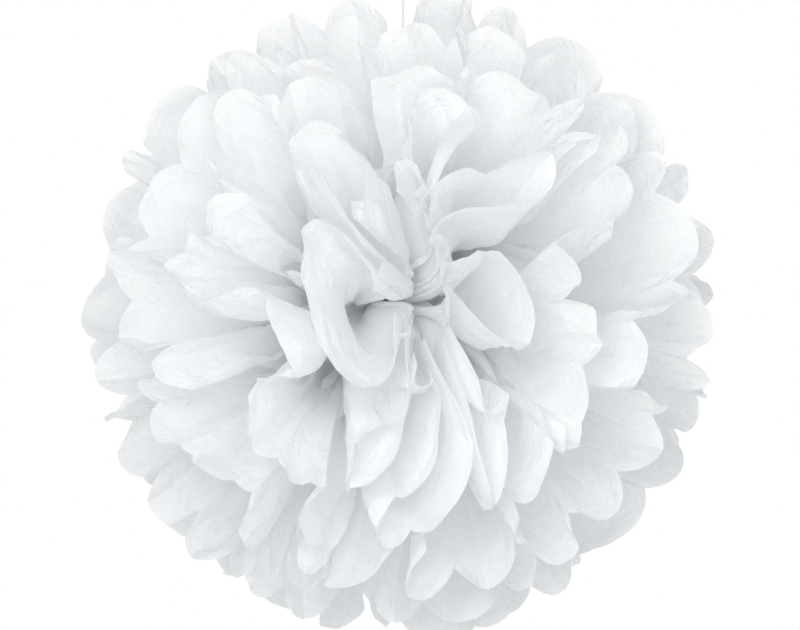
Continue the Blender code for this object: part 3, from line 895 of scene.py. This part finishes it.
# The thread, its knots and its loop
thread_look = thread_material()
thread_twist = (THREAD_RADIUS, THREAD_SIDES, PLIES, THREAD_PITCH)
thread_low = LOWER_KNOT_Z + KNOT_RADIUS * THREAD_START
thread_high = LOOP_KNOT_Z - KNOT_RADIUS * THREAD_START
thread_points = [(0.0, 0.0, z) for z in np.linspace(thread_low, thread_high, THREAD_POINTS)]
thread = swept("twisted_thread", resampled(thread_points, THREAD_STEP), *thread_twist, thread_look)
lower_knot = make_knot("knot_on_tie", LOWER_KNOT_Z, thread_look)
upper_knot = make_knot("knot_under_loop", LOOP_KNOT_Z, thread_look)
loop = swept("twisted_loop", resampled(loop_route(), THREAD_STEP), *thread_twist, thread_look)
stands_for(thread, "hanging_thread")
stands_for(lower_knot, "thread_lower_knot")
stands_for(upper_knot, "loop_knot")
stands_for(loop, "hanging_loop")

# The tie
wire_path = resampled(rounded([tuple(point) for point in wire_route()], WIRE_ROUNDS), WIRE_STEP)
wire = swept("twisted_tie", wire_path, WIRE_RADIUS, WIRE_SIDES, 0, 1.0, wire_material())
stands_for(wire, "wire_tie")

# The sheets
tissue_look = tissue_material()
for sheet_number in range(SHEETS):
    make_sheet(sheet_number, tissue_look)


# The room: a pale floor that fades into a white ground, light from all round, and three lamps
def floor_material():
    material, nodes, links = new_material("pale_floor")
    shader = nodes["Principled BSDF"]
    shader.inputs["Roughness"].default_value = FLOOR_ROUGHNESS
    shader.inputs["Base Color"].default_value = FLOOR_COLOUR
    white = nodes.new("ShaderNodeEmission")
    mix = nodes.new("ShaderNodeMixShader")
    place = nodes.new("ShaderNodeTexCoord")
    far = nodes.new("ShaderNodeVectorMath")
    far.operation = "LENGTH"
    fade = nodes.new("ShaderNodeMapRange")
    fade.interpolation_type = "SMOOTHSTEP"
    fade.inputs["From Min"].default_value = FLOOR_FADE[0]
    fade.inputs["From Max"].default_value = FLOOR_FADE[1]
    path = nodes.new("ShaderNodeLightPath")
    seen = nodes.new("ShaderNodeMath")
    seen.operation = "MULTIPLY"
    links.new(place.outputs["Object"], far.inputs[0])
    links.new(far.outputs["Value"], fade.inputs["Value"])
    links.new(fade.outputs["Result"], seen.inputs[0])
    links.new(path.outputs["Is Camera Ray"], seen.inputs[1])
    links.new(seen.outputs[0], mix.inputs[0])
    links.new(shader.outputs[0], mix.inputs[1])
    links.new(white.outputs[0], mix.inputs[2])
    links.new(mix.outputs[0], nodes["Material Output"].inputs["Surface"])
    return material


floor_sides = (-FLOOR_HALF, FLOOR_HALF)
floor_points = np.array([[(x, y, 0.0) for x in floor_sides] for y in floor_sides])
floor = add_object("floor", grid_mesh("floor", floor_points), floor_material())
floor.location = (0.0, 0.0, -HOOK_Z - FLOOR_DROP)

world = bpy.data.worlds.new("white_ground")
bpy.context.scene.world = world
world.use_nodes = True
world_nodes, world_links = world.node_tree.nodes, world.node_tree.links
ambient = world_nodes["Background"]
ambient.inputs["Color"].default_value = AMBIENT_COLOUR
ambient.inputs["Strength"].default_value = AMBIENT_STRENGTH
ground = world_nodes.new("ShaderNodeBackground")
ground.inputs["Color"].default_value = (1.0, 1.0, 1.0, 1.0)
ground.inputs["Strength"].default_value = 1.0
choose = world_nodes.new("ShaderNodeMixShader")
rays = world_nodes.new("ShaderNodeLightPath")
either = world_nodes.new("ShaderNodeMath")
either.operation = "MAXIMUM"
any_of = world_nodes.new("ShaderNodeMath")
any_of.operation = "MAXIMUM"
world_links.new(rays.outputs["Is Camera Ray"], either.inputs[0])
world_links.new(rays.outputs["Is Glossy Ray"], either.inputs[1])
world_links.new(either.outputs[0], any_of.inputs[0])
world_links.new(rays.outputs["Is Transmission Ray"], any_of.inputs[1])
world_links.new(any_of.outputs[0], choose.inputs[0])
world_links.new(ambient.outputs[0], choose.inputs[1])
world_links.new(ground.outputs[0], choose.inputs[2])
world_links.new(choose.outputs[0], world_nodes["World Output"].inputs["Surface"])


def add_area(name, offset, size, energy):
    """A round lamp at a place counted from the ball's middle, turned to it."""
    target = Vector(BALL_CENTRE)
    location = target + Vector(offset)
    lamp = bpy.data.lights.new(name, "AREA")
    lamp.shape = "DISK"
    lamp.size = size
    lamp.energy = energy
    item = bpy.data.objects.new(name, lamp)
    item.location = location
    item.rotation_euler = (target - location).to_track_quat("-Z", "Y").to_euler()
    bpy.context.scene.collection.objects.link(item)
    return item


add_area("key", *KEY_LAMP)
add_area("back", *BACK_LAMP)
front = add_area("front", *FRONT_LAMP)
front.visible_camera = False

bpy.context.scene.view_settings.view_transform = "Standard"
# White paper lights its own folds, so the light is followed through many of them
bpy.context.scene.cycles.max_bounces = 16
bpy.context.scene.cycles.diffuse_bounces = 14
